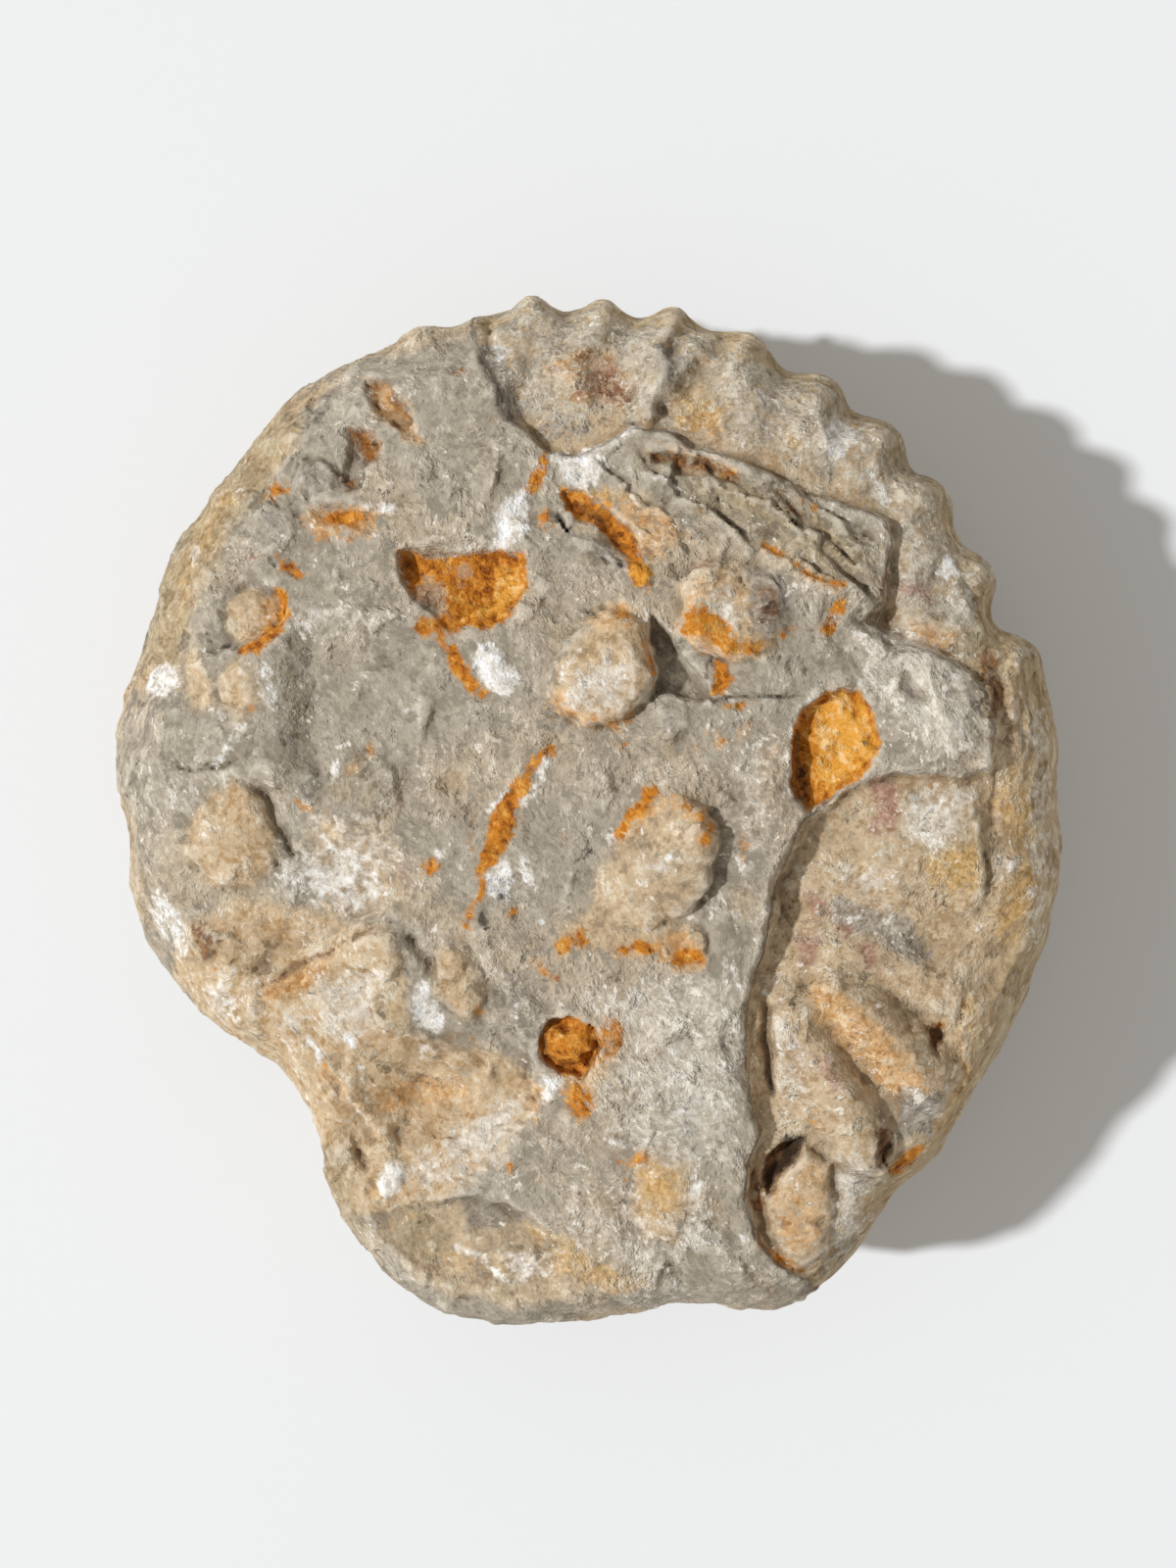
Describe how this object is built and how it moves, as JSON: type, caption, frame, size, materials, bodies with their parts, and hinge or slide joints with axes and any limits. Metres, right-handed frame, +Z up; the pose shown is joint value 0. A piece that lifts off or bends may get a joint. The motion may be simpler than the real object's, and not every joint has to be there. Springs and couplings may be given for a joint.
{
  "type": "fossil ammonite",
  "caption": "Stout ribbed ammonite fossil lying on one flank, with a knobbed rim and a broken slab of shelly limestone over its middle.",
  "frame": {"origin": "on the table, under the middle of the stone's outline", "axes": "+Z up out of the upper flank, +Y along the stone's length towards the knobbed rim"},
  "size_m": [0.1158, 0.1258, 0.0482],
  "materials": {
    "limestone": "matt weathered limestone, grey on the slab and tan on the bare shell, with rust and chalk-white stains"
  },
  "bodies": {
    "root": {"ammonite_stone": "limestone"}
  },
  "joints": []
}
